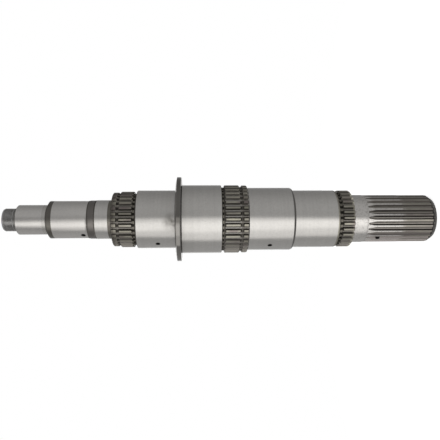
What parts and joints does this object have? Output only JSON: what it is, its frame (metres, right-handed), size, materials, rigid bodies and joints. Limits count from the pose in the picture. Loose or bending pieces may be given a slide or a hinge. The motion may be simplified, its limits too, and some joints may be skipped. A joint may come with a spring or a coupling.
{
  "type": "transmission main shaft",
  "caption": "Stepped steel gearbox main shaft with ground journals, rings of splines, a thrust flange and a splined output end.",
  "frame": {"origin": "centre of the flat output end face, on which the shaft stands", "axes": "+Z along the shaft from the output end to the tip, -Y towards the camera"},
  "size_m": [0.1179, 0.118, 0.596],
  "materials": {
    "steel": "ground journals between dark unground bands"
  },
  "bodies": {
    "root": {"main_shaft": "steel"}
  },
  "joints": []
}
